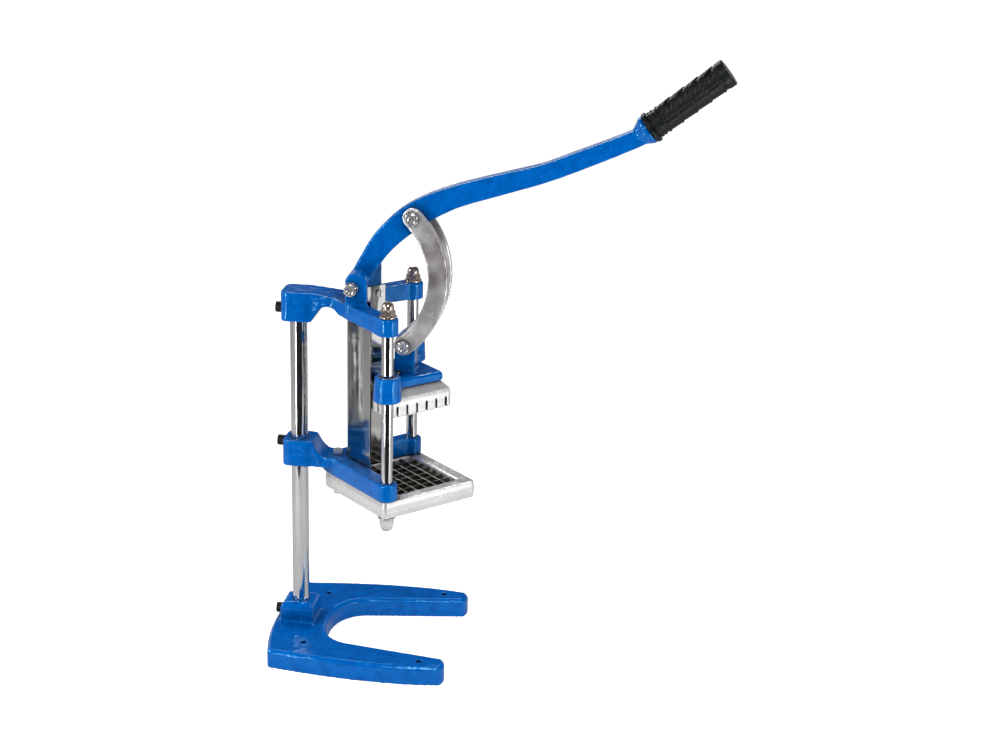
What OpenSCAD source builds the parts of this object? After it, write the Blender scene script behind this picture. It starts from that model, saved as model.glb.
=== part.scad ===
// French fry cutter: a lever press on a post that pushes a potato through a blade grid.
// Millimetres, +Z up, front is -Y. Origin: post axis at the underside of the foot.

/* [Foot] */
// Height of the foot's plate
foot_thick = 22; // [16:1:30]
// Reach of the rear edge behind the post axis
foot_rear = 29; // [27:1:40]
// Half width across the rear corners
foot_rear_half = 86; // [80:1:96]
// How far the rear edge falls away towards its corners
foot_rear_fall = 11; // [6:1:14]
// Largest half width, beside the legs
foot_side_half = 103; // [100:1:112]
// Reach of the legs' outer corners in front of the post axis
foot_front = 177; // [165:1:200]
// Half width across the outer corners of the legs' ends
foot_front_half = 98; // [96:1:102]
// How far the legs' round ends bulge past their corners
foot_end_bulge = 4; // [2:1:8]
// Width of each leg at its end
leg_end_width = 24.5; // [20:0.5:32]
// Distance of the gap's rear end from the post axis
gap_rear = 32; // [30:1:40]
// Distance of the gap's shoulders from the post axis
gap_shoulder = 64; // [56:1:76]
// Half width of the gap at its shoulders
gap_shoulder_half = 55; // [48:1:60]
// Chamfer along the foot's top edge
foot_edge = 3.5; // [2:0.5:5]
// Width of the raised block that holds the post
block_width = 39; // [36:1:46]
// Top of that block above the bench
block_top = 45; // [42:1:60]
// Radius of the screw holes through the foot
foot_hole_r = 3.2; // [2:0.1:4.5]
// Distance between the two rear screw holes
rear_hole_span = 129; // [115:1:145]
// Distance of the rear screw holes from the post axis, to the front
rear_hole_reach = 18; // [10:1:24]
// Distance between the two front screw holes
front_hole_span = 173; // [168:1:178]
// Distance of the front screw holes from the post axis, to the front
front_hole_reach = 152; // [140:1:160]

/* [Columns] */
// Radius of the chromed post
post_r = 9.5; // [8:0.25:11]
// Radius of each guide rod
rod_r = 6.35; // [5:0.05:7]
// Distance between the two guide rods
rod_span = 146; // [144:1:152]
// Distance of the guide rods in front of the post axis
rod_reach = 113; // [112:1:118]
// Bare length of a guide rod between the two brackets
rod_clear = 164; // [158:1:180]
// Radius of the turned-down threaded ends of the rods
rod_end_r = 4.7; // [3.5:0.1:5]

/* [Brackets] */
// Height of a rod boss on either bracket
boss_height = 20; // [16:1:24]
// Radius of a rod boss
boss_r = 11.5; // [10.5:0.5:12.5]
// Distance of the arms' inner faces from the line through the rods
arm_inset = 7; // [6.5:0.5:7]
// Height of the lower bracket's post block
lower_block_height = 30; // [28:1:44]
// Height of the upper bracket's post block
upper_block_height = 33; // [28:1:44]
// How far the brackets reach behind the post axis
block_rear = 16.5; // [15:0.5:22]
// Thickness of each clevis ear
ear_thick = 20; // [14:0.5:24]
// Length of each clevis ear, front to back
ear_length = 24; // [20:1:28]
// Width of the slot between the ears
ear_slot = 42; // [38:1:50]

/* [Lever] */
// Distance of the lever's pivot in front of the post axis
pivot_reach = 67; // [64:1:70]
// Height of the lever's pivot above the upper bracket's bosses
pivot_rise = 18.5; // [17:0.5:24]
// Radius of the pivot bolt
pivot_r = 4; // [3:0.25:5]
// Thickness of the lever's bar
lever_thick = 19; // [14:1:22]
// Radius of the lever's crosswise hub
hub_r = 12; // [10.5:0.5:12.5]
// Distance from the pivot forward to the grip's collar
lever_reach = 303; // [270:1:340]
// Height of the grip's collar above the pivot
lever_rise = 178.5; // [150:0.5:200]
// Greatest depth of the lever's bar
lever_depth = 28; // [24:1:32]
// Radius of the collar in front of the grip
collar_r = 16; // [13:0.2:16.6]
// Length of the grip
grip_length = 98; // [80:1:130]
// Radius of the grip's body
grip_r = 15.2; // [14:0.2:16]
// Slope of the grip at rest
grip_slope = 38.8; // [20:0.1:50]

/* [Links] */
// How far the links' lower bolt sits in front of the guide rods
pin_front = 6; // [2:0.5:7]
// Distance of the links' upper bolt in front of the pivot
link_top_reach = 60.5; // [56:0.5:64]
// Height of the links' upper bolt above the pivot
link_top_rise = 74; // [70:0.5:80]
// Width of a link
link_width = 21.5; // [18:0.5:23]
// Thickness of a link
link_thick = 8; // [5:0.5:10]
// How far a link bows out of the line between its bolts
link_bow = 32; // [24:1:36]
// Radius of the links' bolts
link_bolt_r = 4; // [3:0.25:5]

/* [Crosshead] */
// Height of the crosshead's bosses above the lower bracket's at rest
stroke = 91.5; // [80:0.5:100]
// Height of a crosshead boss
slider_boss_height = 28; // [24:1:32]
// Radius at the top of a crosshead boss
slider_boss_r = 14; // [12.5:0.5:14.5]
// Radius at the foot of a crosshead boss
slider_boss_foot_r = 15.3; // [14:0.1:16]
// Side of the crosshead's square plate
plate_side = 70; // [62:1:76]
// Thickness of that plate
plate_thick = 10; // [8:0.5:14]
// Height of the links' lower bolt above the boss feet
pin_rise = 44; // [42:1:50]
// Length of the raised block, front to back
pin_block_length = 23; // [20:1:30]

/* [Cutting grid] */
// Number of cells along each side
cells = 7; // [7]
// Distance from blade to blade
cell_pitch = 12.7; // [12.5:0.1:12.8]
// Thickness of a blade
blade_thick = 0.9; // [0.6:0.1:1.4]
// Height of a blade
blade_height = 12; // [8:1:13]
// Height of the tray's underside above the bench
tray_base = 185; // [150:1:240]
// Height of the tray's frame
tray_height = 19.5; // [18:0.5:23]
// Side of the tray
tray_side = 121; // [118:1:124]
// Total height of the pusher
pusher_height = 29; // [26:1:34]
// Length of the pusher's fingers
finger_length = 12.5; // [10:0.5:15]
// Width of the slots between the fingers
finger_slot = 2; // [1.4:0.1:3]

/* [Guard] */
// Thickness of the guard's sheet
guard_thick = 1.2; // [0.8:0.1:1.4]
// Reach of each guard wing to the side
guard_reach = 37; // [30:1:40]
// Outer radius of the guard's bend
guard_bend_r = 10; // [6:0.5:12]

/* [Fasteners] */
// Radius of the clamp screws' heads
clamp_head_r = 5.9; // [5:0.1:7]
// Height of the clamp screws' heads
clamp_head_height = 8; // [6:0.5:9]
// Radius of the clamp screws' threads
clamp_screw_r = 4; // [3:0.1:4.5]
// Distance across the flats of the hinge bolts' heads
hex_flats = 13; // [11:0.5:15]
// Height of the hinge bolts' heads
hex_height = 5.5; // [4:0.25:7]
// Radius of the washers under them
washer_r = 7.6; // [7.6:0.1:9]
// Thickness of every washer
washer_thick = 1.6; // [1:0.1:2]
// Distance across the flats of the dome nuts
dome_flats = 14.3; // [13:0.1:15]
// Height of the dome nuts
dome_height = 15.5; // [14:0.5:18]
// Radius of the washers under the dome nuts
rod_washer_r = 9.5; // [9:0.1:11]

/* [Hidden] */
$fn = 64;
curve_steps = 8;

// Clearances
running_gap = 0.05;
seat_gap = 0.02;
bolt_gap = 0.2;
side_gap = 0.5;
overrun = 1;

// Heights that follow from the driving sizes
lower_z = tray_base + tray_height;
lower_top = lower_z + boss_height;
upper_z = lower_top + rod_clear;
upper_top = upper_z + boss_height;
post_seat = 4;
post_cover = 4;
block_lift = 8;
lower_block_z = lower_z + block_lift;
lower_block_top = lower_block_z + lower_block_height;
upper_block_top = upper_top + post_cover;
upper_block_z = upper_block_top - upper_block_height;
post_top = upper_block_top - post_cover;
crosshead_z = lower_top + stroke;

// Sides of the square field that brackets, tray, guard and pusher share
half_span = rod_span / 2;
half_row = half_span / sqrt(2);
arm_outer = half_row + boss_r;
arm_inner = half_row - arm_inset;
opening_half = cells * cell_pitch / 2;
inner_bend_r = guard_bend_r + seat_gap;
outer_bend_r = 6;
guard_half = arm_inner - seat_gap;

// Pivot and link places on the middle plane, as [y, z]
pivot = [-pivot_reach, upper_top + pivot_rise];
link_top = pivot + [-link_top_reach, link_top_rise];
link_bottom = [-rod_reach - pin_front, crosshead_z + pin_rise];
link_length = norm(link_top - link_bottom);
link_inner = lever_thick / 2 + side_gap;
link_outer = link_inner + link_thick;

// Widths of the ears and hub
ear_outer = ear_slot / 2 + ear_thick;
hub_length = ear_slot - 2 * side_gap;
hub_bush_wall = 2;

// Points of a smooth curve from a to c that bends towards b
function curve(a, b, c) = [
    for (i = [0 : curve_steps])
        let (t = i / curve_steps)
            (1 - t) * (1 - t) * a + 2 * t * (1 - t) * b + t * t * c
];

// The same curve without its last point, for curves that follow each other
function curve_to(a, b, c) =
    let (points = curve(a, b, c))
        [for (i = [0 : curve_steps - 1]) points[i]];

// The same points on the other side of the middle plane, in reverse, without the two on it
function mirrored(points) = [
    for (i = [len(points) - 2 : -1 : 1]) [-points[i][0], points[i][1]]
];

// Point on a smooth line through p1 and p2, with p0 and p3 as their neighbours
function through(p0, p1, p2, p3, t) =
    0.5 * (2 * p1 + (p2 - p0) * t + (2 * p0 - 5 * p1 + 4 * p2 - p3) * t * t
        + (3 * p1 - p0 - 3 * p2 + p3) * t * t * t);

// Rows of a table, joined smoothly
function smooth_rows(rows, steps) = [
    for (i = [0 : len(rows) - 2], j = [0 : steps - 1])
        let (before = rows[max(i - 1, 0)], after = rows[min(i + 2, len(rows) - 1)])
            through(before, rows[i], rows[i + 1], after, j / steps),
    rows[len(rows) - 1]
];

// Square with round corners and true arcs, centred
module rounded_square(half_x, half_y, corner_r) {
    square([2 * half_x, 2 * (half_y - corner_r)], center = true);
    square([2 * (half_x - corner_r), 2 * half_y], center = true);
    for (x = [-1, 1], y = [-1, 1])
        translate([x * (half_x - corner_r), y * (half_y - corner_r)])
            circle(r = corner_r);
}

// Stands a flat outline given in [y, z] up and gives it a width along X
module side_slab(width) {
    translate([-width / 2, 0, 0])
        rotate([90, 0, 90])
            linear_extrude(width)
                children();
}

// Turns a flat outline by 45 degrees about the middle of the grid
module on_grid() {
    translate([0, -rod_reach])
        rotate(45)
            children();
}

// Rod along X through the middle plane, centred at a [y, z] place
module cross_rod(place, r, length) {
    translate([-length / 2, place[0], place[1]])
        rotate([0, 90, 0])
            cylinder(r = r, h = length);
}

// Places children at both guide rods, at one height
module at_rods(z) {
    for (side = [-1, 1])
        translate([side * half_span, -rod_reach, z])
            children();
}

// Hexagon prism by its distance across flats
module hex_prism(flats, height) {
    cylinder(r = flats / sqrt(3), h = height, $fn = 6);
}

// Hexagon head or nut with its top corners turned off
module hex_head(flats, height) {
    corner_r = flats / sqrt(3);
    turned = (corner_r - flats / 2);
    intersection() {
        hex_prism(flats, height);
        union() {
            cylinder(r = corner_r, h = height - turned);
            translate([0, 0, height - turned])
                cylinder(r1 = corner_r, r2 = flats / 2, h = turned);
        }
    }
}

// Foot

foot_rear_flat_share = 0.55;
foot_corner_r = 9;
foot_corner_run = 6;
foot_side_pull = 2.05;
foot_side_mid_share = 0.6;
gap_mid_share = 0.36;
gap_end_share = 0.84;
foot_block_rear = 20.5;
foot_block_front = 18;
foot_block_corner_r = 8;
foot_block_fillet = 4;
foot_block_crown = 9;

function foot_half_outline() =
    let (
        rear_corner = [foot_rear_half, foot_rear - foot_rear_fall],
        side_start = rear_corner + [foot_corner_run, -foot_corner_r],
        end_outer = [foot_front_half, -foot_front],
        end_inner = end_outer - [leg_end_width, 0],
        shoulder = [gap_shoulder_half, -gap_shoulder],
        mean_half = (side_start[0] + end_outer[0]) / 2
    )
    concat(
        curve_to([0, foot_rear], [foot_rear_half * foot_rear_flat_share, foot_rear], rear_corner),
        curve_to(rear_corner, rear_corner + [foot_corner_run, 0], side_start),
        curve_to(side_start,
            [mean_half + foot_side_pull * (foot_side_half - mean_half), -foot_front * foot_side_mid_share],
            end_outer),
        curve_to(end_outer, (end_outer + end_inner) / 2 - [0, 2 * foot_end_bulge], end_inner),
        curve_to(end_inner,
            [shoulder[0] + (end_inner[0] - shoulder[0]) * gap_mid_share,
                shoulder[1] - (foot_front - gap_shoulder) * gap_mid_share],
            shoulder),
        curve(shoulder, [gap_shoulder_half * gap_end_share, -gap_rear], [0, -gap_rear])
    );

module foot_outline() {
    half = foot_half_outline();
    polygon(concat(half, mirrored(half)));
}

// Side view of the foot's block: fillets at its foot, a round crown on top
module block_profile(front, rear) {
    fillet = foot_block_fillet;
    crown = foot_block_crown;
    polygon(concat(
        [[front - fillet, 0]],
        curve([front - fillet, foot_thick], [front, foot_thick], [front, foot_thick + fillet]),
        curve([front, block_top - crown], [front, block_top], [front + crown, block_top]),
        curve([rear - crown, block_top], [rear, block_top], [rear, block_top - crown]),
        curve([rear, foot_thick + fillet], [rear, foot_thick], [rear + fillet, foot_thick]),
        [[rear + fillet, 0]]
    ));
}

module foot_block() {
    half_x = block_width / 2 + foot_block_fillet;
    half_y = (foot_block_rear + foot_block_front) / 2 + foot_block_fillet;
    intersection() {
        translate([0, (foot_block_rear - foot_block_front) / 2, foot_thick - foot_edge])
            linear_extrude(block_top)
                rounded_square(half_x, half_y, foot_block_corner_r + foot_block_fillet);
        side_slab(2 * half_x + 2 * overrun)
            block_profile(-foot_block_front, foot_block_rear);
        translate([0, half_y + foot_block_rear, 0])
            rotate([90, 0, 0])
                linear_extrude(4 * half_y)
                    block_profile(-block_width / 2, block_width / 2);
    }
}

module base() {
    color("#0f62ad") difference() {
        union() {
            minkowski() {
                linear_extrude(foot_thick - foot_edge) offset(delta = -foot_edge) foot_outline();
                cylinder(r1 = foot_edge, r2 = 0, h = foot_edge, $fn = 16);
            }
            foot_block();
        }
        translate([0, 0, post_seat])
            cylinder(r = post_r + seat_gap, h = block_top);
        clamp_hole(foot_clamp_z, foot_block_rear);
        for (x = [-1, 1]) {
            translate([x * rear_hole_span / 2, -rear_hole_reach, -overrun])
                cylinder(r = foot_hole_r, h = foot_thick + 2 * overrun);
            translate([x * front_hole_span / 2, -front_hole_reach, -overrun])
                cylinder(r = foot_hole_r, h = foot_thick + 2 * overrun);
        }
    }
}

// Post and guide rods

module post() {
    color("#c9ccd0")
        translate([0, 0, post_seat])
            cylinder(r = post_r, h = post_top - post_seat);
}

module guide_rod(side) {
    rod_foot = lower_z;
    end_reach = washer_thick + dome_height / 2;
    color("#c9ccd0")
        translate([side * half_span, -rod_reach, 0]) {
            translate([0, 0, rod_foot])
                cylinder(r = rod_r, h = upper_top - rod_foot);
            translate([0, 0, tray_base - end_reach])
                cylinder(r = rod_end_r, h = upper_top - tray_base + 2 * end_reach);
        }
}

module guide_rod_left() { guide_rod(-1); }
module guide_rod_right() { guide_rod(1); }

// Clamp screws behind the post

clamp_head_lift = 2;
foot_clamp_z = foot_thick + clamp_head_r + clamp_head_lift;
lower_clamp_z = lower_block_top - clamp_head_r - side_gap;
upper_clamp_z = upper_block_z + upper_block_height / 3;
clamp_socket_share = 0.5;

module clamp_hole(z, rear) {
    translate([0, 0, z])
        rotate([-90, 0, 0])
            cylinder(r = clamp_screw_r + seat_gap, h = rear + overrun);
}

module clamp_screw(z, rear) {
    socket_r = clamp_head_r * clamp_socket_share;
    translate([0, 0, z])
        rotate([-90, 0, 0])
            difference() {
                union() {
                    translate([0, 0, post_r + seat_gap])
                        cylinder(r = clamp_screw_r, h = rear - post_r);
                    translate([0, 0, rear])
                        cylinder(r = clamp_head_r, h = clamp_head_height);
                }
                translate([0, 0, rear + clamp_head_height / 2])
                    cylinder(r = socket_r, h = clamp_head_height, $fn = 6);
            }
}

module post_clamp_screws() {
    color("#17181a") {
        clamp_screw(foot_clamp_z, foot_block_rear);
        clamp_screw(lower_clamp_z, block_rear);
        clamp_screw(upper_clamp_z, block_rear);
    }
}

// Brackets

bracket_corner_r = 8;
block_front = 17.5;
neck_waist = 2;
lower_boss_crown = 3;
upper_boss_crown = 2;

// Plan of the two arms, which end over the rods and run along the bosses' outer sides
module arms_plan() {
    on_grid() difference() {
        intersection() {
            rounded_square(arm_outer, arm_outer, outer_bend_r);
            union() {
                translate([-half_row, arm_inner])
                    square([half_row + arm_outer, arm_outer - arm_inner]);
                translate([arm_inner, -half_row])
                    square([arm_outer - arm_inner, half_row + arm_outer]);
                translate([arm_inner - inner_bend_r, arm_inner - inner_bend_r])
                    square(2 * inner_bend_r);
            }
        }
        rounded_square(arm_inner, arm_inner, inner_bend_r);
    }
}

// Plan of either bracket: post block, neck and the two arms at 45 degrees
module bracket_plan() {
    block_half = (block_rear + block_front) / 2;
    neck_y = -rod_reach + arm_outer * sqrt(2) - block_width / 2;
    difference() {
        union() {
            translate([0, (block_rear - block_front) / 2])
                rounded_square(block_width / 2, block_half, bracket_corner_r);
            polygon([
                [-block_width / 2, 0], [-block_width / 2 + neck_waist, -block_front],
                [-block_width / 2, neck_y], [block_width / 2, neck_y],
                [block_width / 2 - neck_waist, -block_front], [block_width / 2, 0]
            ]);
            arms_plan();
        }
        on_grid() rounded_square(arm_inner, arm_inner, inner_bend_r);
    }
}

// Boss with its top edge rounded
module rod_bosses(z, crown) {
    at_rods(z)
        rotate_extrude() {
            square([boss_r - crown, boss_height]);
            square([boss_r, boss_height - crown]);
            translate([boss_r - crown, boss_height - crown]) circle(r = crown);
        }
}

module rod_bores(z) {
    at_rods(z - overrun) cylinder(r = rod_r + seat_gap, h = boss_height + 2 * overrun);
}

neck_front = 34;
arch_front = 50;
arch_rise = 8;
arm_taper = 3.5;

// Side view of the lower bracket above the tray: high post block, curved step, level neck
module lower_profile() {
    far = rod_reach + boss_r;
    polygon(concat(
        [[block_rear + overrun, lower_block_z], [block_rear + overrun, lower_block_top]],
        curve([-block_front, lower_block_top], [-block_front - arch_rise, lower_top],
            [-neck_front, lower_top]),
        [[-far, lower_top], [-far, lower_block_z]]
    ));
}

module lower_bracket() {
    color("#0f62ad") difference() {
        union() {
            translate([0, 0, lower_z])
                linear_extrude(boss_height) arms_plan();
            intersection() {
                translate([0, 0, lower_block_z])
                    linear_extrude(lower_block_height) bracket_plan();
                side_slab(2 * rod_span) lower_profile();
            }
            rod_bosses(lower_z, lower_boss_crown);
        }
        translate([0, 0, lower_z - overrun])
            cylinder(r = post_r + seat_gap, h = lower_block_top);
        rod_bores(lower_z);
        clamp_hole(lower_clamp_z, block_rear);
        translate([0, -tray_bolt_reach, lower_z - overrun])
            cylinder(r = tray_bolt_r + bolt_gap, h = lower_block_height);
    }
}

// Side view of the upper bracket: deep post block, arched neck, level arms
module upper_profile() {
    far = rod_reach + boss_r;
    polygon(concat(
        [[block_rear + overrun, upper_block_z], [block_rear + overrun, upper_block_top],
            [-block_front, upper_block_top], [-arch_front, upper_top], [-far, upper_top], [-far, upper_z],
            [-rod_reach, upper_z]],
        curve([-arch_front, upper_z + arm_taper], [-neck_front, upper_z + 2 * arch_rise],
            [-block_front - arch_rise, upper_z + arch_rise / 2]),
        [[-block_front, upper_block_z]]
    ));
}

ear_rear = 7;
ear_rise = 16.5;
ear_corner_r = 10;

// Clevis ear: upright with a round top, longer in front of the pivot than behind it
module ear(side) {
    foot_z = upper_z + boss_height / 2;
    translate([side * (ear_slot / 2 + ear_thick / 2), 0, 0])
        side_slab(ear_thick)
            translate([pivot[0] + ear_rear - ear_length, foot_z]) {
                square([ear_length, pivot[1] + ear_rise - ear_corner_r - foot_z]);
                translate([ear_corner_r, 0])
                    square([ear_length - 2 * ear_corner_r, pivot[1] + ear_rise - foot_z]);
                for (y = [ear_corner_r, ear_length - ear_corner_r])
                    translate([y, pivot[1] + ear_rise - ear_corner_r - foot_z])
                        circle(r = ear_corner_r);
            }
}

module upper_bracket() {
    color("#0f62ad") difference() {
        union() {
            intersection() {
                translate([0, 0, upper_block_z])
                    linear_extrude(upper_block_height) bracket_plan();
                side_slab(2 * rod_span) upper_profile();
            }
            rod_bosses(upper_z, upper_boss_crown);
            difference() {
                union() {
                    ear(-1);
                    ear(1);
                }
                translate([0, 0, upper_z])
                    linear_extrude(pivot[1] + ear_rise - upper_z + overrun)
                        on_grid() rounded_square(arm_inner, arm_inner, inner_bend_r);
            }
        }
        translate([0, 0, upper_block_z - overrun])
            cylinder(r = post_r + seat_gap, h = post_top - upper_block_z + overrun);
        rod_bores(upper_z);
        clamp_hole(upper_clamp_z, block_rear);
        cross_rod(pivot, pivot_r + seat_gap, 2 * (ear_outer + overrun));
        for (side = [-1, 1])
            guard_screw_hole(side);
    }
}

// Nuts and washers on the guide rods

module washer(outer_r, inner_r) {
    difference() {
        cylinder(r = outer_r, h = washer_thick);
        translate([0, 0, -overrun]) cylinder(r = inner_r, h = washer_thick + 2 * overrun);
    }
}

dome_hex_share = 0.5;

module dome_nut() {
    hex_part = dome_height * dome_hex_share;
    dome_r = dome_flats / 2;
    difference() {
        union() {
            hex_prism(dome_flats, hex_part);
            cylinder(r = dome_r, h = dome_height - dome_r);
            translate([0, 0, dome_height - dome_r]) sphere(r = dome_r);
        }
        translate([0, 0, -dome_height])
            cylinder(r = rod_end_r + seat_gap, h = dome_height * 3 / 2 + side_gap);
    }
}

module top_dome_nuts() {
    color("#c8b8a6") at_rods(upper_top + washer_thick) dome_nut();
}

module top_washers() {
    color("#c8b8a6") at_rods(upper_top) washer(rod_washer_r, rod_end_r + bolt_gap);
}

module bottom_dome_nuts() {
    color("#d5d6d8") at_rods(tray_base - washer_thick) rotate([180, 0, 0]) dome_nut();
}

module bottom_washers() {
    color("#d5d6d8") at_rods(tray_base - washer_thick) washer(rod_washer_r, rod_end_r + bolt_gap);
}

// Tray, blades and the frame that keeps the blades in

tray_corner_r = 5;
tray_rim_share = 0.25;
tray_flare = 1.5;
mouth_chamfer = 3;
blade_drop = 2;
blade_seat = 3.5;
retainer_thick = 3;
retainer_width = 7.5;
retainer_corner_r = 16;
retainer_screw_r = 2;
retainer_head_r = 3;
retainer_screw_length = 9;
tray_bolt_inset = 16;
tray_bolt_reach = rod_reach - tray_side / sqrt(2) + tray_bolt_inset;
tray_bolt_r = 3;
tray_nut_r = 2.5;
tray_nut_height = 7;
tray_bolt_flats_share = 0.75;

blade_top = lower_z - blade_drop;
blade_base = blade_top - blade_height;
blade_half = opening_half + blade_seat;
retainer_half = opening_half + retainer_width;
retainer_screw_place = opening_half + retainer_width / 2;

module tray_plan(grow) {
    on_grid() rounded_square(tray_side / 2 + grow, tray_side / 2 + grow, tray_corner_r + grow);
}

// Places children at every blade position of one set, along the local X axis
module at_blades() {
    for (i = [1 : cells - 1])
        translate([(i - cells / 2) * cell_pitch, 0, 0])
            children();
}

module tray() {
    rim = tray_height * tray_rim_share;
    color("#d9dadc") difference() {
        union() {
            translate([0, 0, tray_base])
                linear_extrude(tray_height) tray_plan(0);
            translate([0, 0, tray_base + rim])
                linear_extrude(tray_height - 2 * rim) tray_plan(tray_flare / 2);
        }
        translate([0, 0, tray_base - overrun])
            linear_extrude(tray_height + 2 * overrun)
                on_grid() square(2 * opening_half, center = true);
        translate([0, -rod_reach, lower_z - mouth_chamfer / 2])
            cylinder(r1 = opening_half * sqrt(2), r2 = (opening_half + 2 * mouth_chamfer) * sqrt(2),
                h = mouth_chamfer, $fn = 4);
        translate([0, -rod_reach, 0])
            rotate(45) {
                translate([0, 0, tray_base - overrun])
                    linear_extrude(retainer_thick + overrun)
                        rounded_square(retainer_half, retainer_half, retainer_corner_r);
                for (turn = [0, 90])
                    rotate(turn)
                        at_blades()
                            translate([-blade_thick / 2 - seat_gap, -blade_half, tray_base])
                                cube([blade_thick + 2 * seat_gap, 2 * blade_half,
                                    blade_top - tray_base + seat_gap]);
                for (turn = [0 : 90 : 270])
                    rotate(turn)
                        translate([0, retainer_screw_place, tray_base])
                            cylinder(r = retainer_screw_r, h = tray_height - blade_drop - retainer_thick);
            }
        at_rods(tray_base - overrun)
            cylinder(r = rod_end_r + bolt_gap, h = tray_height + 2 * overrun);
        translate([0, -tray_bolt_reach, tray_base - overrun])
            cylinder(r = tray_bolt_r, h = tray_height + 2 * overrun);
    }
}

// One set of blades; the halving notches open upwards or downwards
module blade_set(turn, notch_base) {
    translate([0, -rod_reach, 0])
        rotate(45 + turn)
            difference() {
                at_blades()
                    translate([-blade_thick / 2, -blade_half, blade_base])
                        cube([blade_thick, 2 * blade_half, blade_height]);
                rotate(90)
                    at_blades()
                        translate([-blade_thick / 2 - seat_gap, -blade_half - overrun, notch_base])
                            cube([blade_thick + 2 * seat_gap, 2 * (blade_half + overrun),
                                blade_height / 2 + overrun]);
            }
}

module blades_lower() {
    color("#b9bcc0") blade_set(0, blade_base + blade_height / 2);
}

module blades_upper() {
    color("#b9bcc0") blade_set(90, blade_base - overrun);
}

module blade_retainer() {
    color("#d9dadc")
        translate([0, -rod_reach, tray_base])
            rotate(45)
                difference() {
                    linear_extrude(retainer_thick)
                        difference() {
                            rounded_square(retainer_half - bolt_gap, retainer_half - bolt_gap,
                                retainer_corner_r);
                            square(2 * opening_half, center = true);
                        }
                    for (turn = [0 : 90 : 270])
                        rotate(turn)
                            translate([0, retainer_screw_place, 0])
                                retainer_screw_body(bolt_gap);
                }
}

module retainer_screw_body(gap) {
    translate([0, 0, -overrun])
        cylinder(r = retainer_screw_r + gap, h = retainer_screw_length + overrun);
    cylinder(r1 = retainer_head_r + gap, r2 = retainer_screw_r + gap, h = retainer_thick / 2);
}

module retainer_screws() {
    color("#8f9296")
        translate([0, -rod_reach, tray_base])
            rotate(45)
                for (turn = [0 : 90 : 270])
                    rotate(turn)
                        translate([0, retainer_screw_place, 0])
                            intersection() {
                                retainer_screw_body(-seat_gap);
                                cylinder(r = retainer_width, h = retainer_screw_length);
                            }
}

// Bolt through the lower bracket's neck into the tray's rear corner
module tray_bolt() {
    color("#d5d6d8")
        translate([0, -tray_bolt_reach, 0]) {
            translate([0, 0, lower_top]) hex_head(hex_flats * tray_bolt_flats_share, hex_height);
            translate([0, 0, tray_base])
                cylinder(r = tray_bolt_r - seat_gap, h = lower_top - tray_base);
            translate([0, 0, tray_base - tray_nut_height - overrun])
                cylinder(r = tray_nut_r - seat_gap, h = tray_nut_height + 2 * overrun);
        }
}

module tray_nut() {
    color("#d5d6d8")
        translate([0, -tray_bolt_reach, tray_base])
            rotate([180, 0, 0])
                difference() {
                    hex_head(hex_flats * tray_bolt_flats_share, tray_nut_height);
                    translate([0, 0, -overrun])
                        cylinder(r = tray_nut_r, h = tray_nut_height + 2 * overrun);
                }
}

// Guard: folded sheet in the corner of both brackets

guard_screw_r = 2;
guard_screw_head_r = 4.2;
guard_screw_head_height = 2;
guard_screw_slot = 1;
guard_screw_place_share = 0.87;
guard_foot = lower_z + seat_gap;
guard_top = upper_top + 4;
guard_screw_z = upper_top - 5;

module guard_plan() {
    intersection() {
        difference() {
            on_grid() rounded_square(guard_half, guard_half, guard_bend_r);
            on_grid() rounded_square(guard_half - guard_thick, guard_half - guard_thick,
                guard_bend_r - guard_thick);
        }
        translate([-guard_reach, -rod_reach])
            square([2 * guard_reach, rod_reach]);
    }
}

// Moves to a wing's outer face, with +Z pointing away from the wing into the arm
module at_wing(side, z) {
    along = guard_reach * guard_screw_place_share;
    translate([side * along, -rod_reach + guard_half * sqrt(2) - along, z])
        rotate([0, 0, side * -45])
            rotate([-90, 0, 0])
                children();
}

module guard_screw_hole(side) {
    at_wing(side, guard_screw_z)
        translate([0, 0, -overrun])
            cylinder(r = guard_screw_r + seat_gap, h = arm_inset + overrun);
}

module back_guard() {
    color("#c3c6ca") difference() {
        translate([0, 0, guard_foot])
            linear_extrude(guard_top - guard_foot) guard_plan();
        for (side = [-1, 1])
            at_wing(side, guard_screw_z)
                translate([0, 0, -guard_thick - overrun])
                    cylinder(r = guard_screw_r + bolt_gap, h = guard_thick + 2 * overrun);
    }
}

module guard_screws() {
    head_height = guard_screw_head_height;
    slot = guard_screw_slot;
    color("#b4b6b9")
        for (side = [-1, 1])
            at_wing(side, guard_screw_z)
                difference() {
                    union() {
                        translate([0, 0, -guard_thick])
                            cylinder(r = guard_screw_r, h = guard_thick + arm_inset - seat_gap);
                        translate([0, 0, -guard_thick - head_height])
                            cylinder(r = guard_screw_head_r, h = head_height);
                    }
                    translate([0, 0, -guard_thick - head_height])
                        cube([slot, 2 * guard_screw_head_r + overrun, head_height], center = true);
                }
}

// Pivot bolt, nut and washers in the clevis ears

module pivot_bolt() {
    head_x = ear_outer + washer_thick;
    color("#d5d6d8") {
        translate([-head_x, pivot[0], pivot[1]])
            rotate([0, -90, 0])
                hex_head(hex_flats, hex_height);
        translate([-head_x, pivot[0], pivot[1]])
            rotate([0, 90, 0])
                cylinder(r = pivot_r, h = 2 * head_x + hex_height + overrun);
    }
}

module pivot_nut() {
    nut_x = ear_outer + washer_thick;
    color("#d5d6d8")
        translate([nut_x, pivot[0], pivot[1]])
            rotate([0, 90, 0])
                difference() {
                    hex_head(hex_flats, hex_height);
                    translate([0, 0, -overrun])
                        cylinder(r = pivot_r + seat_gap, h = hex_height + 2 * overrun);
                }
}

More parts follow.
